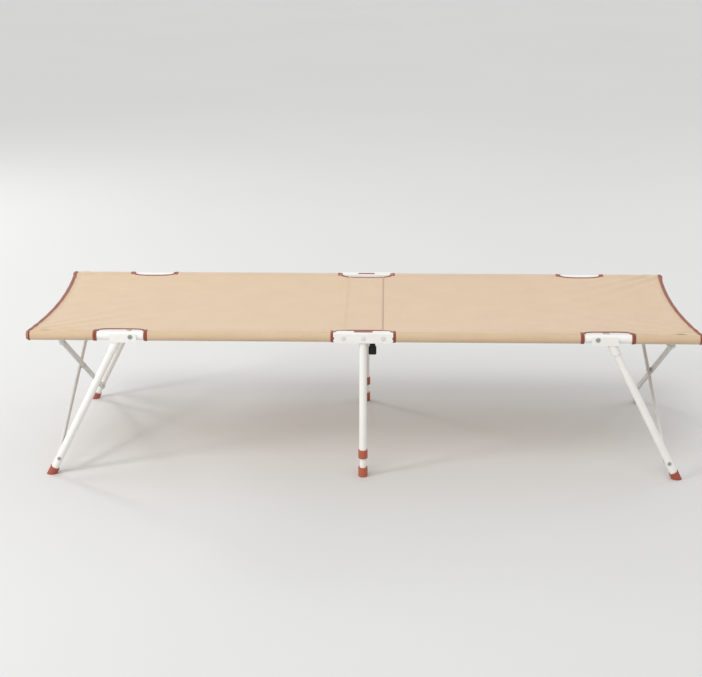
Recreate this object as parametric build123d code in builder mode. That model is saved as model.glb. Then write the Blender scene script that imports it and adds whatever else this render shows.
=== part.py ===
from build123d import *
import os
from math import atan2, cos, degrees, radians, sin

# Folding camp cot: a fabric sling on two jointed side rails, two centre legs and
# two X-braced pairs of end legs.  Millimetres.  The origin is on the floor under
# the middle of the bed, X runs along the bed, Y across it and Z up.

os.makedirs("parts", exist_ok=True)

# Driving dimensions
HALF_LENGTH = 950.0  # middle of the bed to a rail's tip
RAIL_Y = 330.0  # middle of the bed to a rail's axis
RAIL_Z = 419.0  # floor to a rail's axis
RAIL_R = 12.5
WALL = 1.5
FIT = 0.05  # radial clearance of pins and sliding tubes

HINGE_X = 56.0  # pivots of the two rail halves in the centre bracket
BRACKET_HALF = 84.0
BRACKET_IN = 12.9
BRACKET_OUT = 14.5
PIN_R = 3.95

LEG_R = 11.0
BOOT_R = 13.5
BOOT_LONG = 23.0  # boot along the leg's axis
LEG_PIVOT_X = 655.0
LEG_HEAD_X = 695.0  # leg axis where it meets the bracket's web
LEG_HEAD_Z = RAIL_Z - 14.0
FOOT_X = 902.0
STUD_Z = 50.0  # height of the stud that the brace's lower end reaches

BRACE_X = 861.0
BRACE_STEP = 6.0  # each brace of a pair stands this far from their middle plane
BRACE_IN = 24.0  # brace ends, inwards from the rail's axis plane
BRACE_DROP = 26.0  # brace pivot, down from the rail's axis
BRACE_W = 18.0
BRACE_T = 8.0
EYE_HALF = 8.2  # half the length of the pivot eye
EYE_CLEAR_R = 14.6  # how far out the bar is faced off level with the eye's ends
# how far each brace of a pair dips as it swings, so that they never meet
BRACE_TILT = {"inner": 30.0, "outer": 40.0}

SLEEVE_R = 14.0
CUT_X = 684.0  # middle of the sling's cut-out at an end leg
CUT_HALF = 78.0
CENTRE_CUT = 92.0
BED_EDGE = 313.0
BED_T = 2.0
BED_TOP = RAIL_Z + 12.0
BED_SAG = 11.0
HEM_DEPTH = 18.0  # how far the hem of each end curves in

ENDS = {"left": -1, "right": 1}
SIDES = {"near": -1, "far": 1}

# Direction from an end leg's head to its foot, in the XZ plane of a left leg
LEG_DX = LEG_HEAD_X - FOOT_X
LEG_DOWN = Vector(LEG_DX, 0, -LEG_HEAD_Z).normalized()


def save(part, name):
    part.label = name
    export_step(part, f"parts/{name}.step")


def across(x, z, sy, offset=0.0):
    """A plane whose normal is +Y, at a rail's axis plane plus an offset."""
    return Plane(origin=(x, sy * RAIL_Y + offset, z), x_dir=(1, 0, 0), z_dir=(0, 1, 0))


def along(x, sx, sy, z=RAIL_Z):
    """A plane whose normal runs outwards along a rail."""
    return Plane(origin=(sx * x, sy * RAIL_Y, z), x_dir=(0, 1, 0), z_dir=(sx, 0, 0))


def leg_axis_plane(sx, sy):
    """A plane at a leg's head with its normal down the leg."""
    return Plane(
        origin=(sx * LEG_HEAD_X, sy * RAIL_Y, LEG_HEAD_Z),
        x_dir=(0, 1, 0),
        z_dir=(-sx * LEG_DOWN.X, 0, LEG_DOWN.Z),
    )


def rail_tube(sx, sy):
    """One half of a side rail, drilled for the end leg's rivet."""
    start, end = HINGE_X + 14.0, HALF_LENGTH - 4.0
    with BuildPart() as rail:
        with BuildSketch(along(start, sx, sy)):
            Circle(RAIL_R)
            Circle(RAIL_R - WALL, mode=Mode.SUBTRACT)
        extrude(amount=end - start)
        with BuildSketch(across(sx * LEG_PIVOT_X, RAIL_Z, sy)):
            Circle(PIN_R + FIT)
        extrude(amount=2 * RAIL_R, both=True, mode=Mode.SUBTRACT)
    return rail.part


def rail_knuckle(sx, sy):
    """The plug in a rail's inner end: a rounded nose drilled for the centre rivet."""
    nose = RAIL_R - 0.2
    with BuildPart() as knuckle:
        with BuildSketch(along(HINGE_X - nose, sx, sy)):
            Circle(nose)
        extrude(amount=nose + 13.8)
        with BuildSketch(across(sx * HINGE_X, RAIL_Z, sy)):
            Circle(nose)
            with Locations((sx * 10.0, 0)):
                Rectangle(20.0, 2 * nose)
        extrude(amount=2 * RAIL_R, both=True, mode=Mode.INTERSECT)
        with BuildSketch(along(HINGE_X + 13.8, sx, sy)):
            Circle(RAIL_R - WALL - FIT)
        extrude(amount=24.0)
        with BuildSketch(across(sx * HINGE_X, RAIL_Z, sy)):
            Circle(PIN_R + FIT)
        extrude(amount=2 * RAIL_R, both=True, mode=Mode.SUBTRACT)
    return knuckle.part


def rail_cap(sx, sy):
    """The plug in a rail's outer end, with a domed head."""
    with BuildPart() as cap:
        with BuildSketch(along(HALF_LENGTH - 24.0, sx, sy)):
            Circle(RAIL_R - WALL - FIT)
        extrude(amount=20.0)
        with BuildSketch(along(HALF_LENGTH - 4.0, sx, sy)):
            Circle(RAIL_R)
        extrude(amount=4.0)
        tip = cap.faces().filter_by(Axis.X).sort_by(Axis.X)[0 if sx < 0 else -1]
        fillet(tip.edges(), 2.5)
    return cap.part


def centre_bracket(sy):
    """An upside-down channel over both rail ends; its top wall stops them at straight."""
    low, high = -14.0, 14.3
    with BuildPart() as bracket:
        with BuildSketch(Plane.YZ.offset(-BRACKET_HALF)):
            with Locations((sy * RAIL_Y, RAIL_Z + (low + high) / 2)):
                Rectangle(2 * BRACKET_OUT, high - low)
            with Locations((sy * RAIL_Y, RAIL_Z + (low + high - 1.6) / 2 - 2.0)):
                Rectangle(2 * BRACKET_IN, high - low + 2.4, mode=Mode.SUBTRACT)
        extrude(amount=2 * BRACKET_HALF)
        top = bracket.faces().sort_by(Axis.Z)[-1]
        fillet(top.edges().filter_by(Axis.X), 1.4)
        side_corners = bracket.edges().filter_by(Axis.Y).group_by(Axis.Z)[0]
        chamfer(side_corners, 6.0)
        for x in (-HINGE_X, 0, HINGE_X):
            with BuildSketch(across(x, RAIL_Z, sy)):
                Circle(PIN_R + FIT)
            extrude(amount=2 * RAIL_R, both=True, mode=Mode.SUBTRACT)
    return bracket.part


def rivet(x, z, sy, reach_in, reach_out, head_r=6.5, head_t=1.8, pin_r=PIN_R):
    """A domed rivet along Y; reach_in and reach_out run from the rail's axis plane."""
    low = sy * RAIL_Y + min(sy * reach_out, -sy * reach_in)
    high = sy * RAIL_Y + max(sy * reach_out, -sy * reach_in)
    with BuildPart() as body:
        with BuildSketch(Plane(origin=(x, low, z), x_dir=(1, 0, 0), z_dir=(0, 1, 0))):
            Circle(pin_r)
        extrude(amount=high - low)
        for y, way in ((low, -1), (high, 1)):
            with BuildSketch(Plane(origin=(x, y, z), x_dir=(1, 0, 0), z_dir=(0, way, 0))):
                Circle(head_r)
            extrude(amount=head_t)
            face = body.faces().filter_by(Axis.Y).sort_by(Axis.Y)[0 if way < 0 else -1]
            fillet(face.edges(), head_t * 0.7)
    return body.part


def centre_rivets(sy):
    """Two hinge rivets and the one that holds the centre leg, as separate solids."""
    reach = BRACKET_OUT + 0.1
    return Compound(
        children=[rivet(x, RAIL_Z, sy, reach, reach) for x in (-HINGE_X, 0, HINGE_X)]
    )


def centre_leg(sy):
    """The upright tube in the middle of a rail, open below for the sliding foot."""
    bottom, top = 58.0, RAIL_Z + 11.5
    with BuildPart() as leg:
        with BuildSketch(Plane.XY.offset(bottom)):
            with Locations((0, sy * RAIL_Y)):
                Circle(LEG_R)
                Circle(LEG_R - WALL, mode=Mode.SUBTRACT)
        extrude(amount=top - bottom)
        with BuildSketch(across(0, RAIL_Z, sy)):
            Circle(PIN_R + FIT)
        extrude(amount=2 * RAIL_R, both=True, mode=Mode.SUBTRACT)
    return leg.part


def centre_collar(sy):
    """The clamp collar at the bottom of the centre leg."""
    with BuildPart() as collar:
        with BuildSketch(Plane.XY.offset(56.0)):
            with Locations((0, sy * RAIL_Y)):
                Circle(BOOT_R)
                Circle(LEG_R + FIT, mode=Mode.SUBTRACT)
        extrude(amount=26.0)
        with BuildSketch(Plane.XY.offset(56.0)):
            with Locations((0, sy * RAIL_Y)):
                Circle(BOOT_R)
                Circle(LEG_R - WALL + 0.2, mode=Mode.SUBTRACT)
        extrude(amount=1.9)
        rims = collar.edges().filter_by(GeomType.CIRCLE).sort_by(SortBy.RADIUS)[-2:]
        chamfer(rims, 1.0)
    return collar.part


def centre_slider(sy):
    """The inner tube that slides out of the centre leg to suit uneven ground."""
    with BuildPart() as slider:
        with BuildSketch(Plane.XY.offset(6.0)):
            with Locations((0, sy * RAIL_Y)):
                Circle(LEG_R - WALL - FIT)
                Circle(LEG_R - 2 * WALL - FIT, mode=Mode.SUBTRACT)
        extrude(amount=140.0)
    return slider.part


def centre_foot(sy):
    """The rubber boot under the sliding tube."""
    with BuildPart() as foot:
        with BuildSketch(Plane.XY):
            with Locations((0, sy * RAIL_Y)):
                Circle(BOOT_R)
        extrude(amount=28.0)
        with BuildSketch(Plane.XY.offset(6.0)):
            with Locations((0, sy * RAIL_Y)):
                Circle(LEG_R - WALL)
        extrude(amount=23.0, mode=Mode.SUBTRACT)
        sole = foot.edges().filter_by(GeomType.CIRCLE).group_by(Axis.Z)[0]
        chamfer(sole, 1.5)
    return foot.part


def end_leg(sx, sy):
    """A slanting end leg, cut level under the bracket's web and drilled for its stud."""
    plane = leg_axis_plane(sx, sy)
    with BuildPart() as leg:
        with BuildSketch(plane.offset(-12.0)):
            Circle(LEG_R)
            Circle(LEG_R - WALL, mode=Mode.SUBTRACT)
        extrude(amount=LEG_HEAD_Z / -LEG_DOWN.Z + 2.0)
        with BuildSketch(Plane.XY.offset(LEG_HEAD_Z - 2.6)):
            with Locations((sx * LEG_HEAD_X, sy * RAIL_Y)):
                Rectangle(120.0, 120.0)
        extrude(amount=60.0, mode=Mode.SUBTRACT)
        with BuildSketch(across(sx * stud_x(), STUD_Z, sy)):
            Circle(3.0 + FIT)
        extrude(amount=2 * RAIL_R, both=True, mode=Mode.SUBTRACT)
    return leg.part


def stud_x():
    """Distance from the middle of the bed to a leg's axis at the stud's height."""
    return FOOT_X + LEG_DX * STUD_Z / LEG_HEAD_Z


def leg_boot(sx, sy):
    """A rubber boot on a slanting leg, with a level sole."""
    plane = leg_axis_plane(sx, sy)
    length = LEG_HEAD_Z / -LEG_DOWN.Z
    with BuildPart() as boot:
        with BuildSketch(plane.offset(length - BOOT_LONG)):
            Circle(BOOT_R)
        extrude(amount=60.0)
        with BuildSketch(plane.offset(length - BOOT_LONG - 1.0)):
            Circle(LEG_R + FIT)
        extrude(amount=BOOT_LONG - 8.5, mode=Mode.SUBTRACT)
        with BuildSketch(Plane.XY):
            with Locations((sx * FOOT_X, sy * RAIL_Y)):
                Rectangle(200.0, 200.0)
        extrude(amount=-90.0, mode=Mode.SUBTRACT)
    return boot.part


def leg_bracket(sx, sy):
    """A yoke on an end leg: two ears beside the rail, a web under it and a socket."""
    ear_in, ear_out = 12.7, 14.7
    ear_low, ear_high = -16.4, 8.0
    ear_start, ear_end = LEG_PIVOT_X - 18.0, LEG_PIVOT_X + 58.0
    web_start = LEG_PIVOT_X + 24.0
    plane = leg_axis_plane(sx, sy)
    with BuildPart() as bracket:
        for way in (-1, 1):
            with BuildSketch(across(0, RAIL_Z, sy, way * (ear_in + ear_out) / 2)) as ear:
                with Locations((sx * (ear_start + ear_end) / 2, -(ear_low + ear_high) / 2)):
                    Rectangle(ear_end - ear_start, ear_high - ear_low)
                fillet(ear.vertices(), 5.0)
            extrude(amount=(ear_out - ear_in) / 2, both=True)
        with BuildSketch(Plane.XY.offset(RAIL_Z + ear_low)):
            with Locations((sx * (web_start + ear_end - 6.0) / 2, sy * RAIL_Y)):
                Rectangle(ear_end - 6.0 - web_start, 2 * ear_out)
        extrude(amount=2.6)
        with BuildSketch(plane.offset(-10.0)):
            Circle(LEG_R + 2.2)
        extrude(amount=44.0)
        with BuildSketch(Plane.XY.offset(RAIL_Z + ear_low + 2.6)):
            with Locations((sx * LEG_HEAD_X, sy * RAIL_Y)):
                Rectangle(120.0, 2 * ear_in)
        extrude(amount=60.0, mode=Mode.SUBTRACT)
        with BuildSketch(plane.offset(-12.0)):
            Circle(LEG_R + FIT)
        bore = extrude(amount=60.0, mode=Mode.PRIVATE)
        with BuildSketch(Plane.XY.offset(RAIL_Z + ear_low)):
            with Locations((sx * LEG_HEAD_X, sy * RAIL_Y)):
                Rectangle(160.0, 160.0)
        below = extrude(amount=-120.0, mode=Mode.PRIVATE)
        add(bore & below, mode=Mode.SUBTRACT)
        with BuildSketch(across(sx * LEG_PIVOT_X, RAIL_Z, sy)):
            Circle(PIN_R + FIT)
        extrude(amount=2 * RAIL_R, both=True, mode=Mode.SUBTRACT)
    return bracket.part


def leg_fasteners(sx, sy):
    """The rivet that the leg turns on and the stud for the brace, as separate solids."""
    pivot = rivet(sx * LEG_PIVOT_X, RAIL_Z, sy, 14.8, 14.8)
    stud = rivet(sx * stud_x(), STUD_Z, sy, LEG_R + 0.1, LEG_R + 0.1, 5.5, 1.6, 3.0)
    return Compound(children=[pivot, stud])


def brace_ends(sx, sy):
    """Pivot on this side's rail and lower end at the other side's leg."""
    # the pair's two bars pass each other: the one pivoted on the near rail is the
    # inner one at the left end and the outer one at the right end
    step = -sy * BRACE_STEP
    top = Vector(sx * BRACE_X + step, sy * (RAIL_Y - BRACE_IN), RAIL_Z - BRACE_DROP)
    low = Vector(sx * stud_x() + step, -sy * (RAIL_Y - BRACE_IN), STUD_Z)
    return top, low


def brace_axis(sx, sy):
    """Pivot axis that carries a brace from its diagonal to lie along the rail."""
    top, low = brace_ends(sx, sy)
    run = (low - top).normalized()
    folded = Vector(-sx, 0, 0)
    flat = run.cross(folded).normalized()
    half = (run + folded).normalized()
    tilt = radians(BRACE_TILT["inner" if sx * sy > 0 else "outer"])
    axis = flat * cos(tilt) + half * sin(tilt)
    a = run - axis * run.dot(axis)
    b = folded - axis * folded.dot(axis)
    turn = degrees(atan2(axis.dot(a.cross(b)), a.dot(b)))
    return axis, turn


def brace(sx, sy):
    """A flat brace bar with a pivot eye, a middle boss and a foot pad."""
    top, low = brace_ends(sx, sy)
    run = low - top
    axis, _ = brace_axis(sx, sy)
    thin = Vector(1, 0, 0) - run.normalized() * run.normalized().X
    middle = top + run * 0.5
    pad = low + Vector(0, sy * 4.0, 0)
    with BuildPart() as bar:
        with BuildSketch(Plane(origin=top, x_dir=thin, z_dir=run.normalized())):
            RectangleRounded(BRACE_T, BRACE_W, 3.0)
        extrude(amount=run.length)
        with BuildSketch(Plane(origin=top - axis * EYE_HALF, z_dir=axis)):
            Circle(9.0)
        extrude(amount=2 * EYE_HALF)
        with BuildSketch(Plane(origin=pad, x_dir=(1, 0, 0), z_dir=(0, -sy, 0))):
            Circle(9.0)
        extrude(amount=14.5)
        inward = sy  # towards the other bar of the pair
        with BuildSketch(Plane(origin=middle, x_dir=(0, 1, 0), z_dir=(inward, 0, 0))):
            Circle(7.0)
        extrude(amount=BRACE_T / 2 + 1.6)
        with BuildSketch(Plane(origin=middle, x_dir=(0, 1, 0), z_dir=(-inward, 0, 0))):
            Circle(5.0)
        extrude(amount=BRACE_T / 2 + 1.5)
        with BuildSketch(Plane(origin=top - axis * 10.0, z_dir=axis)):
            Circle(3.0 + FIT)
        extrude(amount=20.0, mode=Mode.SUBTRACT)
        # the bar is faced off level with the eye's ends, clear of the bracket's tab
        for end_face in (axis, axis * -1):
            with BuildSketch(Plane(origin=top + end_face * EYE_HALF, z_dir=end_face)):
                Circle(EYE_CLEAR_R)
            extrude(amount=EYE_CLEAR_R, mode=Mode.SUBTRACT)
    return bar.part


def brace_bracket(sx, sy):
    """A tab under the rail's tip with the pin that the brace swings on."""
    top, low = brace_ends(sx, sy)
    axis, _ = brace_axis(sx, sy)
    up = axis if axis.Z > 0 else axis * -1
    seat = top + up * (EYE_HALF + 1.2)
    outward = Vector(0, sy, 0) - up * (sy * up.Y)
    outward = outward.normalized()
    tab = Plane(origin=seat, x_dir=outward, z_dir=up)
    with BuildPart() as bracket:
        with BuildSketch(tab):
            Circle(9.0)
            with Locations((8.0, 0)):
                Rectangle(16.0, 14.0)
        extrude(amount=2.5)
        with BuildSketch(Plane(origin=seat + up * 1.0, z_dir=up * -1)):
            Circle(3.0)
        extrude(amount=2 * EYE_HALF + 3.5)
        with BuildSketch(Plane(origin=top - up * (EYE_HALF + 1.2), z_dir=up * -1)):
            Circle(5.5)
        extrude(amount=1.6)
        with BuildSketch(Plane.XY.offset(RAIL_Z - 17.0)):
            with Locations((top.X, sy * (RAIL_Y - 9.0))):
                Rectangle(18.0, 9.0)
        extrude(amount=12.0)
        with BuildSketch(along(HALF_LENGTH - 200.0, sx, sy)):
            Circle(RAIL_R + FIT)
        extrude(amount=200.0, mode=Mode.SUBTRACT)
    return bracket.part


def sleeve(sx, sy):
    """The sling's rolled edge on a rail half, in two runs beside the leg's cut-out."""
    runs = ((CENTRE_CUT, CUT_X - CUT_HALF), (CUT_X + CUT_HALF, HALF_LENGTH - 5.0))
    pieces = []
    for start, end in runs:
        with BuildPart() as tube:
            with BuildSketch(along(start, sx, sy)):
                Circle(SLEEVE_R)
                Circle(RAIL_R + 0.1, mode=Mode.SUBTRACT)
            extrude(amount=end - start)
            with BuildSketch(Plane.XY.offset(RAIL_Z - 2.0)):
                with Locations((sx * BRACE_X, sy * (RAIL_Y - 12.0))):
                    Rectangle(44.0, 24.0)
            extrude(amount=-20.0, mode=Mode.SUBTRACT)
        pieces.append(tube.part)
    return Compound(children=pieces)


def bed_panel(start, end, hem_at=0):
    """A stretch of the sling between the rails; hem_at curves the hem of one end in."""
    low = BED_TOP - BED_SAG
    with BuildPart() as panel:
        with BuildSketch(Plane.YZ.offset(start)):
            with BuildLine():
                upper = ThreePointArc((-BED_EDGE, BED_TOP), (0, low), (BED_EDGE, BED_TOP))
                lower = ThreePointArc(
                    (-BED_EDGE, BED_TOP - BED_T), (0, low - BED_T), (BED_EDGE, BED_TOP - BED_T)
                )
                Line(upper @ 0, lower @ 0)
                Line(upper @ 1, lower @ 1)
            make_face()
        extrude(amount=end - start)
        if hem_at:
            tip = hem_at * (HALF_LENGTH - 5.0)
            bay = hem_at * (HALF_LENGTH - 5.0 - HEM_DEPTH)
            beyond = hem_at * (HALF_LENGTH + 60.0)
            with BuildSketch(Plane.XY.offset(low - 40.0)):
                with BuildLine():
                    ThreePointArc((tip, -BED_EDGE - 5), (bay, 0), (tip, BED_EDGE + 5))
                    Polyline(
                        (tip, BED_EDGE + 5), (beyond, BED_EDGE + 5),
                        (beyond, -BED_EDGE - 5), (tip, -BED_EDGE - 5),
                    )
                make_face()
            extrude(amount=120.0, mode=Mode.SUBTRACT)
    return panel.part


def tie_strap():
    """The strap and buckle that hold the folded cot together."""
    face_y = BRACKET_OUT + 0.3 - RAIL_Y
    with BuildPart() as strap:
        with BuildSketch(Plane.XZ.offset(-face_y)):
            with Locations((26.0, RAIL_Z - 30.0)):
                RectangleRounded(16.0, 52.0, 1.0)
        extrude(amount=-1.6)
        with BuildSketch(Plane.XZ.offset(-face_y - 1.6)):
            with Locations((26.0, RAIL_Z - 44.0)):
                RectangleRounded(22.0, 24.0, 3.0)
        extrude(amount=-5.0)
    return strap.part


for end, sx in ENDS.items():
    for side, sy in SIDES.items():
        name = f"{side}_{end}"
        save(rail_tube(sx, sy), f"{name}_rail")
        save(rail_knuckle(sx, sy), f"{name}_rail_knuckle")
        save(rail_cap(sx, sy), f"{name}_rail_cap")
        save(end_leg(sx, sy), f"{name}_leg")
        save(leg_bracket(sx, sy), f"{name}_leg_bracket")
        save(leg_boot(sx, sy), f"{name}_leg_boot")
        save(leg_fasteners(sx, sy), f"{name}_leg_fasteners")
        save(brace(sx, sy), f"{name}_brace")
        save(brace_bracket(sx, sy), f"{name}_brace_bracket")
        save(sleeve(sx, sy), f"{name}_sling_sleeve")

for side, sy in SIDES.items():
    save(centre_bracket(sy), f"{side}_centre_bracket")
    save(centre_rivets(sy), f"{side}_centre_rivets")
    save(centre_leg(sy), f"{side}_centre_leg")
    save(centre_collar(sy), f"{side}_centre_collar")
    save(centre_slider(sy), f"{side}_centre_slider")
    save(centre_foot(sy), f"{side}_centre_foot")

save(bed_panel(-HALF_LENGTH, -HINGE_X, -1), "left_bed_panel")
save(bed_panel(-HINGE_X, HINGE_X), "centre_bed_panel")
save(bed_panel(HINGE_X, HALF_LENGTH, 1), "right_bed_panel")
save(tie_strap(), "tie_strap")

for end, sx in ENDS.items():
    for side, sy in SIDES.items():
        top, low = brace_ends(sx, sy)
        axis, turn = brace_axis(sx, sy)
        print(f"{side}_{end}_brace pivot", [round(v, 3) for v in tuple(top)])
        print("   axis", [round(v, 6) for v in tuple(axis)], "turn", round(turn, 3))
print("leg fold", round(180.0 - degrees(atan2(LEG_HEAD_Z, -LEG_DX)), 3))
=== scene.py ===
import math

import bpy
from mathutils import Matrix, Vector


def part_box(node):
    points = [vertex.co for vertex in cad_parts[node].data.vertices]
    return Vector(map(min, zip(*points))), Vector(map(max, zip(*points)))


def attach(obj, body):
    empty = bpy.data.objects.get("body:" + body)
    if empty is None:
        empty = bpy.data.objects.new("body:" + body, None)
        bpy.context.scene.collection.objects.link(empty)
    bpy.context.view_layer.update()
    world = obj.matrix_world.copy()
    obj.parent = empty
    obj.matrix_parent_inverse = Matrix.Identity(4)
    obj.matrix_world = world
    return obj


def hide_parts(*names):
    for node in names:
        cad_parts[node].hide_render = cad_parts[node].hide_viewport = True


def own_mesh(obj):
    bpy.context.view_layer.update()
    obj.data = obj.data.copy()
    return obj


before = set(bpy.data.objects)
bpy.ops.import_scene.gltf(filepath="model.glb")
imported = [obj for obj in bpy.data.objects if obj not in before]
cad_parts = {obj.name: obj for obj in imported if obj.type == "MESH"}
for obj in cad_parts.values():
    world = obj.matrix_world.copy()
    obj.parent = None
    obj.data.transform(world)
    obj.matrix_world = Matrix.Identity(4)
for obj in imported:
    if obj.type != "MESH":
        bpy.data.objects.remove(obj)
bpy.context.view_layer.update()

# ---------------------------------------------------------------- sizes, metres, from the frame
rail_low, rail_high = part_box("near_left_rail")
far_rail_low, far_rail_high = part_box("far_left_rail")
sleeve_low, sleeve_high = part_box("near_left_sling_sleeve")
bed_low, bed_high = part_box("left_bed_panel")
middle_low, middle_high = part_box("centre_bed_panel")

RAIL_Y = (far_rail_low[1] + far_rail_high[1]) / 2
RAIL_Z = (rail_low[2] + rail_high[2]) / 2
SLEEVE_R = (sleeve_high[2] - sleeve_low[2]) / 2
HINGE_X = middle_high[0]
HEM_SHORT = 0.002  # the canvas stops this far short of the bed panel's end
BED_END = -bed_low[0] - HEM_SHORT
SLEEVE_START = -sleeve_high[0]
SLEEVE_END = -sleeve_low[0]

CLOTH = 0.0010  # thickness of the canvas
CLOTH_TOP = RAIL_Z + SLEEVE_R + 0.0004  # canvas over the top of a rail
SAG = 0.0115  # dip of the canvas at the middle of the bed
HEM_CURVE = 0.017  # how far each end's hem curves in
SEAM_IN = 0.029  # sleeve seam, inwards from the rail's axis

TAPE_WIDE = 0.011
TAPE_THICK = 0.0022
STITCH_STEP = 0.0036
STITCH_LONG = 0.0027
STITCH_THICK = 0.0004
HEM_STRETCH = 0.30  # the hem's curve is worked in over this much of the bed
SEAM_MARGIN = 0.012  # stitch rows stop this far short of an edge

# each cut-out: its middle along the rail and half its length
CUT_MIDDLE = 0.684
CUT_HALF = 0.066
CENTRE_HALF = SLEEVE_START - TAPE_WIDE
CUTS = {
    "left": (-CUT_MIDDLE, CUT_HALF),
    "centre": (0.0, CENTRE_HALF),
    "right": (CUT_MIDDLE, CUT_HALF),
}
# how far each cut-out reaches in from the rail's axis
CUT_DEPTH = {
    "near": {"left": 0.020, "centre": 0.022, "right": 0.020},
    "far": {"left": 0.034, "centre": 0.044, "right": 0.034},
}

SIDES = {"near": -1, "far": 1}
ENDS = {"left": -1, "right": 1}


# ---------------------------------------------------------------- mesh helpers
def new_mesh(name, points, faces, uvs=None):
    """A smooth-shaded mesh object from points and faces, with one UV for each point."""
    mesh = bpy.data.meshes.new(name)
    mesh.from_pydata([tuple(p) for p in points], [], faces)
    mesh.polygons.foreach_set("use_smooth", [True] * len(mesh.polygons))
    if uvs:
        layer = mesh.uv_layers.new(name="cut")
        for loop in mesh.loops:
            layer.data[loop.index].uv = uvs[loop.vertex_index]
    mesh.validate()
    piece = bpy.data.objects.new(name, mesh)
    bpy.context.scene.collection.objects.link(piece)
    return piece


def grid_faces(rows, columns, wrap=False):
    """Quads between neighbouring points of a grid stored row by row."""
    faces = []
    last = columns if wrap else columns - 1
    for i in range(rows - 1):
        for j in range(last):
            k = (j + 1) % columns
            faces.append((i * columns + j, i * columns + k, (i + 1) * columns + k, (i + 1) * columns + j))
    return faces


def swept(name, path, ups, outline):
    """A tube whose outline (side, up) is carried along a path."""
    points = []
    uvs = []
    run = 0.0
    around = len(outline)
    for i, spot in enumerate(path):
        ahead = path[min(i + 1, len(path) - 1)]
        behind = path[max(i - 1, 0)]
        along = (ahead - behind).normalized()
        up = (ups[i] - along * ups[i].dot(along)).normalized()
        side = along.cross(up)
        if i:
            run += (spot - path[i - 1]).length
        for s, u in outline:
            points.append(spot + side * s + up * u)
            uvs.append((run, s))
    faces = grid_faces(len(path), around, wrap=True)
    faces.append(tuple(reversed(range(around))))
    faces.append(tuple(range((len(path) - 1) * around, len(path) * around)))
    return new_mesh(name, points, faces, uvs)


def soft_outline(wide, thick):
    """A flattened loop with round edges, for tape."""
    count = 14
    outline = []
    for k in range(count):
        angle = 2 * math.pi * k / count
        c = math.cos(angle)
        s = math.sin(angle)
        side = math.copysign(abs(c) ** 0.55, c) * wide / 2
        outline.append((side, math.copysign(abs(s) ** 0.8, s) * thick / 2))
    return outline


def smooth_step(value):
    value = min(max(value, 0.0), 1.0)
    return value * value * (3 - 2 * value)


# ---------------------------------------------------------------- the sling's shape
def cut_back(x, side):
    """How far the canvas is cut back from the rail's top at x, on the near or far side."""
    depths = CUT_DEPTH["near" if side < 0 else "far"]
    for place, (middle, half) in CUTS.items():
        t = abs(x - middle) / half
        if t < 1.0:
            return depths[place] * (1 - t ** 3) ** (1 / 3)
    return 0.0


def across_cloth(x, share):
    """Y at a share of the canvas's width, from 0 at its near edge to 1 at its far one."""
    near = cut_back(x, -1) - RAIL_Y
    far = RAIL_Y - cut_back(x, 1)
    return near + (far - near) * share


def hem_curve(y):
    """How far the end hem stands in from the sling's corners at y."""
    return HEM_CURVE * (1 - (y / RAIL_Y) ** 2)


def corner_pull(x, y):
    """Small folds that run in from a corner, where the hem is pulled tight."""
    back = BED_END - abs(x)
    in_y = RAIL_Y - abs(y)
    lean = math.radians(34 if y < 0 else 40)
    along = back * math.cos(lean) + in_y * math.sin(lean)
    across = -back * math.sin(lean) + in_y * math.cos(lean)
    fade = math.exp(-max(along, 0) / 0.20) * smooth_step(along / 0.05)
    spread = 0.030 + 0.30 * max(along, 0)
    wave = math.sin(2 * math.pi * across / (0.030 + 0.13 * max(along, 0)) + 0.6 * math.copysign(1, x))
    return 0.0034 * wave * fade * math.exp(-(across / spread) ** 2)


def cut_pull(x, y):
    """Short folds that start at the ends of a cut-out."""
    height = 0.0
    for middle, half in CUTS.values():
        for end in (-1, 1):
            dx = x - (middle + end * half)
            dy = RAIL_Y - abs(y)
            bend = dx - end * 0.35 * dy
            height += math.exp(-(bend / (0.008 + 0.10 * dy)) ** 2) * math.exp(-dy / 0.10)
    return -0.0013 * height * smooth_step((RAIL_Y - abs(y)) / 0.02)


def slow_waves(x, y):
    """The canvas's own gentle unevenness between the rails."""
    inside = 1 - (y / RAIL_Y) ** 2
    waves = math.sin(7.3 * x + 3.1 * y + 0.4) + 0.7 * math.sin(17.0 * x - 9.0 * y + 1.9)
    waves += 0.5 * math.sin(31.0 * x + 13.0 * y + 0.7) * math.exp(-((abs(x) - 0.45) / 0.3) ** 2)
    tight = 0.5 * math.sin(2 * math.pi * (y + 0.15 * abs(x)) / 0.085) * math.exp(-((BED_END - abs(x)) / 0.12))
    return 0.0006 * inside * waves + 0.0009 * inside * tight


def cloth_height(x, y):
    dip = SAG * (1 - min(abs(y) / RAIL_Y, 1.0) ** 2)
    dip *= 0.86 + 0.14 * math.cos(math.pi * x / BED_END)
    return CLOTH_TOP - dip + corner_pull(x, y) + cut_pull(x, y) + slow_waves(x, y)


def cloth_up(x, y):
    """The canvas's upward direction at a point."""
    step = 0.002
    slope_x = (cloth_height(x + step, y) - cloth_height(x - step, y)) / (2 * step)
    slope_y = (cloth_height(x, y + step) - cloth_height(x, y - step)) / (2 * step)
    return Vector((-slope_x, -slope_y, 1)).normalized()


def columns_between(start, end):
    """Places along the bed, closer together at the ends of each cut-out."""
    count = max(2, round((end - start) / 0.007))
    places = {round(start + (end - start) * k / count, 5) for k in range(count + 1)}
    for middle, half in CUTS.values():
        for edge in (-1, 1):
            for step in (0.0, 0.0002, 0.0008, 0.002, 0.0036):
                place = middle + edge * (half - step)
                if start < place < end:
                    places.add(round(place, 5))
    return sorted(places)


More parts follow.
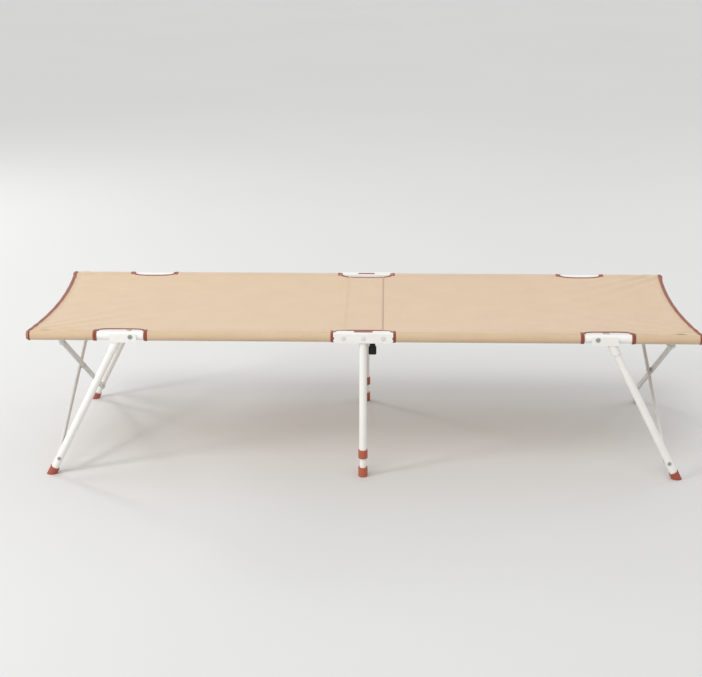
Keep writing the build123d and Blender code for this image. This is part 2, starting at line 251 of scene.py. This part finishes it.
def sheet_points(start, end, rows, lift, hinge_flaps):
    """Grid of the canvas between two places along the bed, hem and hinge flaps included."""
    points = []
    uvs = []
    columns = columns_between(start, end)
    grid = []
    for x in columns:
        line = []
        for k in range(rows + 1):
            y = across_cloth(x, k / rows)
            reach = smooth_step((abs(x) - (BED_END - HEM_STRETCH)) / HEM_STRETCH)
            place = x - math.copysign(hem_curve(y) * reach, x)
            line.append(((place, y, cloth_height(place, y) + lift), (x, y)))
        grid.append(line)
    for hinge, away in hinge_flaps:
        flap = []
        for turn in (15, 30, 45, 60, 75, 88):
            line = []
            for k in range(rows + 1):
                y = across_cloth(hinge, k / rows)
                reach = cloth_height(hinge, y) + lift - RAIL_Z
                tuck = math.radians(turn)
                x = hinge + away * reach * math.sin(tuck)
                z = RAIL_Z + reach * math.cos(tuck)
                line.append(((x, y, z), (hinge + away * reach * tuck, y)))
            flap.append(line)
        grid = grid + flap if away > 0 else list(reversed(flap)) + grid
    for line in grid:
        for point, cut in line:
            points.append(point)
            uvs.append(cut)
    return points, uvs, len(grid), rows + 1


def canvas_sheet(name, start, end, lift=0.0, hinge_flaps=()):
    """One panel of the sling."""
    points, uvs, lines, across = sheet_points(start, end, 96, lift, hinge_flaps)
    faces = [tuple(reversed(face)) for face in grid_faces(lines, across)]
    piece = new_mesh(name, points, faces, uvs)
    thick = piece.modifiers.new("canvas", "SOLIDIFY")
    thick.thickness = CLOTH
    thick.offset = -1
    return piece


def close_with_cot(piece):
    """Gives the piece a mesh of its own."""
    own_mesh(piece)
    return piece


# ---------------------------------------------------------------- tape, hems and stitches
def cut_tape_path(place, side, start, end):
    """Line of the tape round the inner edge of a cut-out, and its upward directions."""
    middle, half = CUTS[place]
    depth = CUT_DEPTH["near" if side < 0 else "far"][place]
    path = []
    steps = 56
    for k in range(steps + 1):
        turn = math.pi * k / steps
        t = -math.copysign(abs(math.cos(turn)) ** (2 / 3), math.cos(turn))
        x = middle + half * t
        if not start - 1e-6 <= x <= end + 1e-6:
            continue
        back = depth * abs(math.sin(turn)) ** (2 / 3)
        y = side * (RAIL_Y - back - 0.0015)
        path.append(Vector((x, y, cloth_height(x, y) + 0.0002)))
    ups = [cloth_up(p.x, p.y) for p in path]
    return path, ups


def cut_tape(name, place, side, start=-9.0, end=9.0):
    path, ups = cut_tape_path(place, side, start, end)
    return swept(name, path, ups, soft_outline(TAPE_WIDE * 0.8, TAPE_THICK))


def end_hem(name, end_side):
    """The bound hem across one end, from rail to rail."""
    path = []
    ups = []
    for k in range(97):
        y = RAIL_Y * (2 * k / 96 - 1)
        x = end_side * (BED_END - hem_curve(y) - 0.002)
        path.append(Vector((x, y, cloth_height(x, y) - 0.0001)))
        ups.append(cloth_up(x, y))
    return swept(name, path, ups, soft_outline(TAPE_WIDE, TAPE_THICK + 0.0004))


def stitches(name, spots, ups):
    """A row of single stitches, one between each spot and a little before the next."""
    points = []
    faces = []
    for i in range(len(spots) - 1):
        run = (spots[i + 1] - spots[i]).normalized()
        up = ups[i]
        side = run.cross(up).normalized()
        base = len(points)
        for share, height in ((0.0, -0.2), (0.25, 0.8), (0.75, 0.8), (1.0, -0.2)):
            spot = spots[i] + run * STITCH_LONG * share + up * STITCH_THICK * height
            out = side * STITCH_THICK
            points.extend([spot - out, spot + up * STITCH_THICK, spot + out])
        for k in range(3):
            a = base + 3 * k
            faces.append((a, a + 1, a + 4, a + 3))
            faces.append((a + 1, a + 2, a + 5, a + 4))
    return new_mesh(name, points, faces)


def stitch_line(name, place_at, length):
    """Stitches along a line given as a function of distance."""
    count = int(length / STITCH_STEP)
    spots = []
    ups = []
    for k in range(count + 1):
        x, y, lift = place_at(k * STITCH_STEP)
        spots.append(Vector((x, y, cloth_height(x, y) + lift)))
        ups.append(cloth_up(x, y))
    return stitches(name, spots, ups)


# ---------------------------------------------------------------- sleeves round the rails
def sleeve_outline(grow=0.0):
    """The sleeve's section: round the rail's outside, then to a flat seam inside it."""
    radius = SLEEVE_R + grow
    tip = Vector((-SEAM_IN - grow, SLEEVE_R - 0.0030))
    reach = math.acos(radius / tip.length)
    toward = math.atan2(tip.y, tip.x)
    first = toward - reach
    last = toward + reach - 2 * math.pi
    outline = []
    for share in (0.15, 0.4, 0.7):
        start = Vector((math.cos(first), math.sin(first))) * radius
        outline.append(tip.lerp(start, share))
    for k in range(29):
        angle = first + (last - first) * k / 28
        outline.append(Vector((math.cos(angle), math.sin(angle))) * radius)
    for share in (0.3, 0.6, 0.85):
        stop = Vector((math.cos(last), math.sin(last))) * radius
        outline.append(stop.lerp(tip - Vector((0, 0.0012 + grow)), share))
    return outline


def sleeve_run(name, start, end, side, end_side):
    """One stretch of sleeve, puckered a little along its seam."""
    outline = sleeve_outline()
    points = []
    uvs = []
    count = max(4, round((end - start) / 0.006))
    for i in range(count + 1):
        along = start + (end - start) * i / count
        x = end_side * along
        for j, (out, up) in enumerate(outline):
            loose = 0.5 - 0.5 * math.cos(2 * math.pi * j / len(outline))
            near_tip = max(0.0, -out / SEAM_IN)
            pucker = 0.00035 * near_tip * math.sin(2 * math.pi * x / 0.017)
            slack = 0.00040 * loose * math.sin(23 * x + 0.5 * j) - 0.00020 * loose
            points.append((x, side * (RAIL_Y + out * (1 + slack / 0.02)), RAIL_Z + up + pucker))
            uvs.append((x, j * 0.0035))
    faces = grid_faces(count + 1, len(outline), wrap=True)
    if side * end_side > 0:
        faces = [tuple(reversed(face)) for face in faces]
    piece = new_mesh(name, points, faces, uvs)
    thick = piece.modifiers.new("canvas", "SOLIDIFY")
    thick.thickness = CLOTH * 0.9
    thick.offset = -1
    return piece


def sleeve_binding(name, along, wide, side, end_side):
    """Tape folded over a sleeve's open end."""
    rings = (
        (-0.50, -0.0006), (-0.46, 0.0006), (-0.30, 0.0011), (0.0, 0.0013),
        (0.30, 0.0011), (0.46, 0.0006), (0.50, -0.0012),
    )
    points = []
    uvs = []
    for share, grow in rings:
        outline = sleeve_outline(grow)
        x = end_side * (along + share * wide)
        for j, (out, up) in enumerate(outline):
            points.append((x, side * (RAIL_Y + out), RAIL_Z + up))
            uvs.append((j * 0.0035, share * wide))
    faces = grid_faces(len(rings), len(sleeve_outline()), wrap=True)
    if side * end_side > 0:
        faces = [tuple(reversed(face)) for face in faces]
    piece = new_mesh(name, points, faces, uvs)
    thick = piece.modifiers.new("fold", "SOLIDIFY")
    thick.thickness = 0.0012
    thick.offset = -1
    return piece


# ---------------------------------------------------------------- shader groups
class Nodes:
    """Adds and links nodes in one tree."""

    def __init__(self, tree):
        self.tree = tree

    def add(self, kind, inputs=None, **settings):
        node = self.tree.nodes.new("ShaderNode" + kind)
        for key, value in settings.items():
            setattr(node, key, value)
        for key, value in (inputs or {}).items():
            self.feed(node.inputs[key], value)
        return node

    def feed(self, socket, value):
        if isinstance(value, bpy.types.NodeSocket):
            self.tree.links.new(value, socket)
        else:
            socket.default_value = value

    def math(self, operation, a, b=0.0, clamp=False):
        node = self.add("Math", {0: a, 1: b}, operation=operation)
        node.use_clamp = clamp
        return node.outputs[0]

    def mix(self, share, a, b):
        node = self.add("Mix", data_type="RGBA")
        self.feed(node.inputs[0], share)
        self.feed(node.inputs[6], a)
        self.feed(node.inputs[7], b)
        return node.outputs[2]

    def ramp(self, value, low, high):
        node = self.add("MapRange", {"Value": value, "From Min": low, "From Max": high})
        node.interpolation_type = "SMOOTHSTEP"
        return node.outputs[0]

    def noise(self, where, scale, detail=3.0, rough=0.55):
        node = self.add("TexNoise", {"Vector": where, "Scale": scale, "Detail": detail, "Roughness": rough})
        return node.outputs["Fac"]


def shader_group(name, inputs, outputs):
    """An empty group with named sockets, its inputs node and its outputs node."""
    tree = bpy.data.node_groups.new(name, "ShaderNodeTree")
    for label, kind, value in inputs:
        socket = tree.interface.new_socket(name=label, in_out="INPUT", socket_type="NodeSocket" + kind)
        if value is not None:
            socket.default_value = value
    for label, kind in outputs:
        tree.interface.new_socket(name=label, in_out="OUTPUT", socket_type="NodeSocket" + kind)
    nodes = Nodes(tree)
    given = tree.nodes.new("NodeGroupInput")
    result = tree.nodes.new("NodeGroupOutput")
    return tree, nodes, given, result


def woven_threads_group():
    """Plain weave: over and under threads, slubs and slow mottling."""
    tree, n, given, result = shader_group(
        "woven threads",
        [
            ("Place", "Vector", None), ("Thread", "Float", 0.0008), ("Slub", "Float", 1.0),
            ("Light", "Color", None), ("Dark", "Color", None),
        ],
        [("Color", "Color"), ("Height", "Float"), ("Roughness", "Float")],
    )
    split = n.add("SeparateXYZ", {0: given.outputs["Place"]})
    turns = n.math("DIVIDE", math.pi, given.outputs["Thread"])
    warp = n.math("SINE", n.math("MULTIPLY", split.outputs[0], turns))
    weft = n.math("SINE", n.math("MULTIPLY", split.outputs[1], turns))
    crossing = n.math("MULTIPLY", warp, weft)
    stretch_x = n.add("VectorMath", {0: given.outputs["Place"], 1: (40.0, 900.0, 1.0)}, operation="MULTIPLY")
    stretch_y = n.add("VectorMath", {0: given.outputs["Place"], 1: (900.0, 40.0, 1.0)}, operation="MULTIPLY")
    slub_x = n.noise(stretch_x.outputs[0], 1.0, 2.0)
    slub_y = n.noise(stretch_y.outputs[0], 1.0, 2.0)
    slub = n.math("ADD", slub_x, slub_y)
    slubs = n.math("MULTIPLY", n.math("SUBTRACT", slub, 1.0), given.outputs["Slub"])
    mottle = n.noise(given.outputs["Place"], 9.0, 4.0)
    tone = n.math("ADD", n.math("MULTIPLY", crossing, 0.16), n.math("MULTIPLY", slubs, 0.9))
    tone = n.math("ADD", tone, n.math("MULTIPLY", n.math("SUBTRACT", mottle, 0.5), 0.8))
    share = n.math("ADD", tone, 0.5, clamp=True)
    n.feed(result.inputs["Color"], n.mix(share, given.outputs["Dark"], given.outputs["Light"]))
    height = n.math("ADD", n.math("MULTIPLY", crossing, 0.5), n.math("MULTIPLY", slubs, 0.8))
    n.feed(result.inputs["Height"], height)
    n.feed(result.inputs["Roughness"], n.math("ADD", 0.80, n.math("MULTIPLY", mottle, 0.16)))
    return tree


def edge_wear_group():
    """A mask of sharp edges, broken up, where a finish rubs away. The painted rivets also use it to lay
    painted shade round their heads.
    """
    tree, n, given, result = shader_group(
        "edge wear",
        [("Place", "Vector", None), ("Reach", "Float", 0.0012), ("Amount", "Float", 0.5)],
        [("Mask", "Float")],
    )
    bevel = n.add("Bevel", {"Radius": given.outputs["Reach"]}, samples=4)
    flat = n.add("NewGeometry")
    facing = n.add("VectorMath", {0: bevel.outputs[0], 1: flat.outputs["Normal"]}, operation="DOT_PRODUCT")
    bend = n.ramp(n.math("SUBTRACT", 1.0, facing.outputs["Value"]), 0.02, 0.16)
    patch = n.ramp(n.noise(given.outputs["Place"], 60.0, 5.0, 0.65), 0.42, 0.62)
    edge_wear_and_shade = n.math("MULTIPLY", n.math("MULTIPLY", bend, patch), given.outputs["Amount"], clamp=True)
    n.feed(result.inputs["Mask"], edge_wear_and_shade)
    return tree


def fine_skin_group():
    """The fine unevenness of sprayed paint, moulded plastic or rubber."""
    tree, n, given, result = shader_group(
        "fine skin",
        [
            ("Place", "Vector", None), ("Pitch", "Float", 600.0),
            ("Smooth", "Float", 0.4), ("Spread", "Float", 0.15),
        ],
        [("Height", "Float"), ("Roughness", "Float"), ("Dust", "Float")],
    )
    grain = n.noise(given.outputs["Place"], given.outputs["Pitch"], 2.0)
    broad = n.noise(given.outputs["Place"], 14.0, 4.0)
    n.feed(result.inputs["Height"], n.math("ADD", grain, n.math("MULTIPLY", broad, 0.3)))
    rough = n.math("MULTIPLY", n.math("SUBTRACT", broad, 0.5), given.outputs["Spread"])
    n.feed(result.inputs["Roughness"], n.math("ADD", given.outputs["Smooth"], rough))
    n.feed(result.inputs["Dust"], n.ramp(broad, 0.45, 0.75))
    return tree


GROUPS = {
    "threads": woven_threads_group(),
    "wear": edge_wear_group(),
    "skin": fine_skin_group(),
}


def group_node(n, which, inputs):
    node = n.tree.nodes.new("ShaderNodeGroup")
    node.node_tree = GROUPS[which]
    for key, value in inputs.items():
        n.feed(node.inputs[key], value)
    return node


def new_material(name):
    """An empty material with its shader, and its node helper."""
    material = bpy.data.materials.new(name)
    material.use_nodes = True
    tree = material.node_tree
    return material, Nodes(tree), tree.nodes["Principled BSDF"]


def bumped(n, shader, height, distance):
    bump = n.add("Bump", {"Height": height, "Distance": distance, "Strength": 1.0})
    n.feed(shader.inputs["Normal"], bump.outputs[0])


# ---------------------------------------------------------------- materials
def canvas_material(name, light, dark):
    """Plain-woven cotton canvas with pressed-in sleeve seams."""
    material, n, shader = new_material(name)
    place = n.add("UVMap", uv_map="cut").outputs[0]
    weave = {"Place": place, "Thread": 0.0009, "Slub": 1.0, "Light": light, "Dark": dark}
    threads = group_node(n, "threads", weave)
    split = n.add("SeparateXYZ", {0: place})
    off_middle = n.math("ABSOLUTE", split.outputs[1])
    from_seam = n.math("ABSOLUTE", n.math("SUBTRACT", off_middle, RAIL_Y - SEAM_IN + 0.004))
    groove = n.ramp(from_seam, 0.0, 0.0035)
    # Along each sleeve seam the weave is mixed toward the dark colour. This is painted shade in the seam's
    # groove.
    shaded = n.mix(n.math("MULTIPLY", n.math("SUBTRACT", 1.0, groove), 0.35), threads.outputs["Color"], dark)
    n.feed(shader.inputs["Base Color"], shaded)
    n.feed(shader.inputs["Roughness"], threads.outputs["Roughness"])
    fine = n.math("MULTIPLY", threads.outputs["Height"], 0.35)
    height = n.math("ADD", fine, n.math("MULTIPLY", groove, 2.2))
    bumped(n, shader, height, 0.0004)
    shader.inputs["Sheen Weight"].default_value = 0.25
    shader.inputs["Sheen Roughness"].default_value = 0.5
    shader.inputs["Specular IOR Level"].default_value = 0.25
    return material


def tape_material():
    """Ribbed cotton tape with a row of stitches near each edge."""
    material, n, shader = new_material("rust_tape")
    place = n.add("UVMap", uv_map="cut").outputs[0]
    split = n.add("SeparateXYZ", {0: place})
    threads = group_node(n, "threads", {"Place": place, "Thread": 0.0007, "Slub": 0.6,
                                        "Light": (0.36, 0.085, 0.045, 1), "Dark": (0.20, 0.038, 0.022, 1)})
    ribs = n.math("SINE", n.math("MULTIPLY", split.outputs[0], 2 * math.pi / 0.0012))
    dash = n.ramp(n.math("SINE", n.math("MULTIPLY", split.outputs[0], 2 * math.pi / STITCH_STEP)), -0.4, 0.0)
    line = n.math("ABSOLUTE", n.math("SUBTRACT", n.math("ABSOLUTE", split.outputs[1]), TAPE_WIDE * 0.26))
    thread = n.math("MULTIPLY", n.math("SUBTRACT", 1.0, n.ramp(line, 0.0003, 0.0006)), dash)
    n.feed(shader.inputs["Base Color"], n.mix(thread, threads.outputs["Color"], (0.50, 0.17, 0.09, 1)))
    n.feed(shader.inputs["Roughness"], threads.outputs["Roughness"])
    height = n.math("ADD", n.math("MULTIPLY", ribs, 0.4), n.math("MULTIPLY", thread, 1.6))
    bumped(n, shader, height, 0.0003)
    shader.inputs["Sheen Weight"].default_value = 0.2
    return material


def thread_material():
    material, n, shader = new_material("sewing_thread")
    place = n.add("TexCoord").outputs["Object"]
    skin = group_node(n, "skin", {"Place": place, "Pitch": 3000.0, "Smooth": 0.6, "Spread": 0.2})
    shade = n.mix(skin.outputs["Dust"], (0.74, 0.60, 0.44, 1), (0.62, 0.49, 0.35, 1))
    n.feed(shader.inputs["Base Color"], shade)
    n.feed(shader.inputs["Roughness"], skin.outputs["Roughness"])
    bumped(n, shader, skin.outputs["Height"], 0.0002)
    return material


def finish_material(name, colour, edge_wear_and_shade, smooth, pitch, deep, wear=0.5, coat=0.0, metal=False, dusty=None):
    """Paint, plastic, rubber or bare steel over the same fine skin and edges where the finish wears away. On
    the painted rivets the darker edge colour is painted shade round each head's rim.
    """
    material, n, shader = new_material(name)
    place = n.add("TexCoord").outputs["Object"]
    skin = group_node(n, "skin", {"Place": place, "Pitch": pitch, "Smooth": smooth, "Spread": 0.18})
    edge_wear_and_shade_node = group_node(n, "wear", {"Place": place, "Reach": 0.0011, "Amount": wear})
    shade = n.mix(n.math("MULTIPLY", skin.outputs["Dust"], 0.5), colour, dusty or colour)
    n.feed(shader.inputs["Base Color"], n.mix(edge_wear_and_shade_node.outputs["Mask"], shade, edge_wear_and_shade))
    rougher = n.math("MULTIPLY", edge_wear_and_shade_node.outputs["Mask"], 0.12)
    n.feed(shader.inputs["Roughness"], n.math("ADD", skin.outputs["Roughness"], rougher))
    bumped(n, shader, skin.outputs["Height"], deep)
    shader.inputs["Metallic"].default_value = 1.0 if metal else 0.0
    shader.inputs["Coat Weight"].default_value = coat
    shader.inputs["Coat Roughness"].default_value = 0.25
    return material


CANVAS = canvas_material("sand_canvas", (0.690, 0.515, 0.345, 1), (0.575, 0.420, 0.270, 1))
TAPE = tape_material()
THREAD = thread_material()
WHITE_PAINT = finish_material(
    "white_frame_paint", (0.86, 0.845, 0.805, 1), (0.46, 0.45, 0.43, 1), 0.34, 700.0, 0.00006, 0.45, 0.25,
    dusty=(0.80, 0.78, 0.74, 1))
# The braces get a grey copy of the white frame paint. The grey is painted shade, because the braces lie in
# shadow under the canvas.
SHADE_DARKENED_BRACE_PAINT = finish_material(
    "brace_paint_darkened_as_shade", (0.66, 0.655, 0.63, 1), (0.36, 0.355, 0.34, 1), 0.42, 650.0, 0.00008, 0.6, 0.1,
    dusty=(0.60, 0.59, 0.56, 1))
RUST_PLASTIC = finish_material(
    "rust_plastic", (0.42, 0.105, 0.055, 1), (0.56, 0.22, 0.14, 1), 0.42, 900.0, 0.00005, 0.4,
    dusty=(0.37, 0.10, 0.06, 1))
RUST_RUBBER = finish_material(
    "rust_rubber", (0.34, 0.070, 0.045, 1), (0.46, 0.17, 0.12, 1), 0.58, 1400.0, 0.00010, 0.5,
    dusty=(0.36, 0.12, 0.09, 1))
RAIL_PLASTIC = finish_material(
    "rail_cap_plastic", (0.36, 0.090, 0.055, 1), (0.50, 0.20, 0.13, 1), 0.48, 900.0, 0.00005, 0.4,
    dusty=(0.33, 0.10, 0.07, 1))
RIVET_STEEL = finish_material(
    "rivet_steel", (0.42, 0.41, 0.39, 1), (0.62, 0.61, 0.59, 1), 0.36, 1200.0, 0.00005, 0.7, metal=True,
    dusty=(0.30, 0.29, 0.28, 1))
# The rivets' darker edge colour is painted shade, a dark rim round each rivet head.
BRACKET_RIVETS = finish_material(
    "painted_rivets", (0.72, 0.705, 0.67, 1), (0.45, 0.44, 0.42, 1), 0.34, 900.0, 0.00005, 0.8, 0.1,
    dusty=(0.62, 0.60, 0.57, 1))
KNUCKLE_STEEL = finish_material(
    "knuckle_paint", (0.82, 0.81, 0.77, 1), (0.50, 0.49, 0.47, 1), 0.36, 800.0, 0.00006, 0.6, 0.1,
    dusty=(0.72, 0.70, 0.66, 1))


def webbing_material():
    """Black ribbed webbing."""
    material, n, shader = new_material("black_webbing")
    place = n.add("TexCoord").outputs["Object"]
    threads = group_node(n, "threads", {"Place": place, "Thread": 0.0010, "Slub": 0.5,
                                        "Light": (0.030, 0.030, 0.032, 1), "Dark": (0.012, 0.012, 0.013, 1)})
    split = n.add("SeparateXYZ", {0: place})
    ribs = n.math("SINE", n.math("MULTIPLY", split.outputs[2], 2 * math.pi / 0.0016))
    n.feed(shader.inputs["Base Color"], threads.outputs["Color"])
    n.feed(shader.inputs["Roughness"], threads.outputs["Roughness"])
    bumped(n, shader, ribs, 0.0003)
    return material


WEBBING = webbing_material()

FINISH_OF = {
    "_rail": WHITE_PAINT,
    "_rail_knuckle": KNUCKLE_STEEL,
    "_rail_cap": RAIL_PLASTIC,
    "_leg": WHITE_PAINT,
    "_leg_bracket": WHITE_PAINT,
    "_leg_boot": RUST_RUBBER,
    "_leg_fasteners": RIVET_STEEL,
    "_brace": SHADE_DARKENED_BRACE_PAINT,
    "_brace_bracket": WHITE_PAINT,
    "_sling_sleeve": CANVAS,
    "_centre_bracket": WHITE_PAINT,
    "_centre_rivets": BRACKET_RIVETS,
    "_centre_leg": WHITE_PAINT,
    "_centre_collar": RUST_PLASTIC,
    "_centre_slider": WHITE_PAINT,
    "_centre_foot": RUST_PLASTIC,
    "_bed_panel": CANVAS,
    "tie_strap": WEBBING,
}


def finish_nodes():
    """Each carried-over part takes the finish of the longest ending that its name matches."""
    for name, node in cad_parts.items():
        ending = max((e for e in FINISH_OF if name.endswith(e)), key=len)
        for place in range(max(1, len(node.data.materials))):
            if place < len(node.data.materials):
                node.data.materials[place] = FINISH_OF[ending]
            else:
                node.data.materials.append(FINISH_OF[ending])


def dress(piece, material, body):
    """Gives a new piece its material and the body it rides on."""
    piece.data.materials.append(material)
    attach(piece, body)
    return piece


# ---------------------------------------------------------------- making the sling
def make_bed():
    """The three canvas panels, with their tapes, hems and stitches, each riding on a body."""
    plans = {
        "left": (-BED_END, -HINGE_X, "near_left_rail", 0.0, ((-HINGE_X, 1),)),
        "centre": (-HINGE_X, HINGE_X, "near_centre", 0.0007, ()),
        "right": (HINGE_X, BED_END, "near_right_rail", 0.0, ((HINGE_X, -1),)),
    }
    for place, (start, end, body, lift, flaps) in plans.items():
        panel = canvas_sheet(f"{place}_canvas", start, end, lift, flaps)
        dress(panel, CANVAS, body)
        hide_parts(f"{place}_bed_panel")
        trims = []
        for side, sy in SIDES.items():
            trims += edge_tapes(place, side, sy, start, end, body)
        trims += panel_stitching(place, start, end, body, lift)
        if place != "centre":
            hem = end_hem(f"{place}_end_hem", ENDS[place])
            trims.append(dress(hem, TAPE, body))
        for piece in [panel] + trims:
            close_with_cot(piece)


def edge_tapes(place, side, sy, start, end, body):
    """The tape round the parts of the cut-outs that lie on one panel."""
    tapes = []
    for cut, (middle, half) in CUTS.items():
        if middle + half < start or middle - half > end:
            continue
        if place == "centre" and cut != "centre":
            continue
        tape = cut_tape(f"{side}_{place}_panel_{cut}_cut_tape", cut, sy, start, end)
        tapes.append(dress(tape, TAPE, body))
    return tapes


def panel_stitching(place, start, end, body, lift):
    """Stitches beside the centre band's cross seams and along the end hems."""
    rows = []
    if place == "centre":
        for name, x in (("left", start + 0.004), ("right", end - 0.004)):
            first = across_cloth(x, 0) + SEAM_MARGIN
            last = across_cloth(x, 1) - SEAM_MARGIN

            def cross_place(d, x=x, first=first):
                return x, first + d, lift + 0.0001
            row = stitch_line(f"centre_{name}_seam_stitches", cross_place, last - first)
            rows.append(dress(row, THREAD, body))
        return rows
    out = ENDS[place]
    for inset in (0.0105, 0.0150):
        def hem_place(d, inset=inset):
            y = d - (RAIL_Y - SEAM_MARGIN)
            return out * (BED_END - hem_curve(y) - inset), y, 0.0002
        row = stitch_line(f"{place}_hem_stitches_{round(inset * 1e4)}", hem_place, 2 * (RAIL_Y - SEAM_MARGIN))
        rows.append(dress(row, THREAD, body))
    for side, sy in SIDES.items():
        runs = {
            "inner": (SLEEVE_START + 0.010, CUT_MIDDLE - CUT_HALF - SEAM_MARGIN),
            "outer": (CUT_MIDDLE + CUT_HALF + SEAM_MARGIN, BED_END - 0.025),
        }
        for run, (near_x, far_x) in runs.items():
            def seam_place(d, near_x=near_x, sy=sy):
                return out * (near_x + d), sy * (RAIL_Y - SEAM_IN + 0.004), 0.0001
            row = stitch_line(f"{side}_{place}_{run}_seam_stitches", seam_place, far_x - near_x)
            rows.append(dress(row, THREAD, body))
    return rows


def make_sleeves():
    """Sleeves and their bound ends, riding on each rail half."""
    runs = {
        "inner": (CENTRE_HALF, CUT_MIDDLE - CUT_HALF),
        "outer": (CUT_MIDDLE + CUT_HALF, SLEEVE_END),
    }
    for side, sy in SIDES.items():
        for end, sx in ENDS.items():
            body = f"{side}_{end}_rail"
            for run, (start, stop) in runs.items():
                sleeve = sleeve_run(f"{side}_{end}_{run}_sleeve", start, stop, sy, sx)
                dress(sleeve, CANVAS, body)
                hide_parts(f"{side}_{end}_sling_sleeve")
                for label, place in (("start", start), ("stop", stop)):
                    wide = TAPE_WIDE * (0.55 if place == SLEEVE_END else 1.0)
                    inwards = 1 if label == "start" else -1
                    tape_name = f"{side}_{end}_{run}_sleeve_{label}_tape"
                    ring = sleeve_binding(tape_name, place + inwards * wide / 2, wide, sy, sx)
                    dress(ring, TAPE, body)


def make_bracket_strips():
    """A short strip of tape laid along the top of each centre bracket."""
    for side, sy in SIDES.items():
        low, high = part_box(f"{side}_centre_bracket")
        path = []
        for k in range(25):
            path.append(Vector((0.052 * (k / 24 - 0.5), sy * (RAIL_Y - 0.004), high[2] + 0.0004)))
        strip = swept(f"{side}_bracket_strip", path, [Vector((0, 0, 1))] * 25, soft_outline(0.011, 0.0018))
        dress(strip, TAPE, f"{side}_centre")


# ---------------------------------------------------------------- studio
def make_floor():
    """A wide plain floor, a little uneven in tone."""
    reach = 60.0
    points = []
    steps = [-reach, -20, -8, -4, -2, 0, 2, 4, 8, 20, reach]
    for x in steps:
        for y in steps:
            points.append((x, y, 0.0))
    floor = new_mesh("studio_floor", points, [tuple(reversed(f)) for f in grid_faces(len(steps), len(steps))])
    material, n, shader = new_material("studio_floor_paint")
    place = n.add("TexCoord").outputs["Object"]
    tone = n.noise(place, 0.6, 3.0)
    n.feed(shader.inputs["Base Color"], n.mix(tone, (0.66, 0.66, 0.655, 1), (0.70, 0.70, 0.695, 1)))
    n.feed(shader.inputs["Roughness"], n.math("ADD", 0.55, n.math("MULTIPLY", tone, 0.1)))
    floor.data.materials.append(material)


def area_light(name, place, aim, wide, deep, power):
    data = bpy.data.lights.new(name, "AREA")
    data.shape = "RECTANGLE"
    data.size = wide
    data.size_y = deep
    data.energy = power
    lamp = bpy.data.objects.new(name, data)
    lamp.location = place
    lamp.rotation_euler = (Vector(aim) - Vector(place)).to_track_quat("-Z", "Y").to_euler()
    bpy.context.scene.collection.objects.link(lamp)


def make_studio_light():
    world = bpy.data.worlds.new("studio_air")
    world.use_nodes = True
    world.node_tree.nodes["Background"].inputs[0].default_value = (1.0, 1.0, 1.0, 1)
    world.node_tree.nodes["Background"].inputs[1].default_value = 0.74
    bpy.context.scene.world = world
    hazy_sun = bpy.data.lights.new("high_soft_light", "SUN")
    hazy_sun.energy = 0.80
    hazy_sun.angle = math.radians(28)
    high = bpy.data.objects.new("high_soft_light", hazy_sun)
    high.rotation_euler = Vector((0.22, 0.50, -0.84)).to_track_quat("-Z", "Y").to_euler()
    bpy.context.scene.collection.objects.link(high)
    area_light("left_front_softbox", (-4.2, -2.6, 2.6), (-1.0, -0.1, 0.0), 0.9, 0.9, 75)
    area_light("left_back_softbox", (-4.0, 3.2, 2.4), (-0.6, 0.0, 0.0), 0.9, 0.9, 55)
    area_light("right_back_softbox", (4.4, 2.6, 2.4), (0.4, 0.0, 0.1), 1.2, 1.2, 22)


def make_camera():
    """A long lens a little above the bed, looking down at it from the near side."""
    data = bpy.data.cameras.new("camera")
    data.lens = 76.26
    data.sensor_width = 36.0
    camera = bpy.data.objects.new("camera", data)
    camera.location = (0.0611, -4.3217, 1.6363)
    camera.rotation_euler = (math.radians(90 - 17.01), 0, math.radians(1.37))
    bpy.context.scene.collection.objects.link(camera)
    bpy.context.scene.camera = camera


finish_nodes()
make_bed()
make_sleeves()
make_bracket_strips()
make_floor()
make_studio_light()
make_camera()
bpy.context.scene.view_settings.view_transform = "Standard"
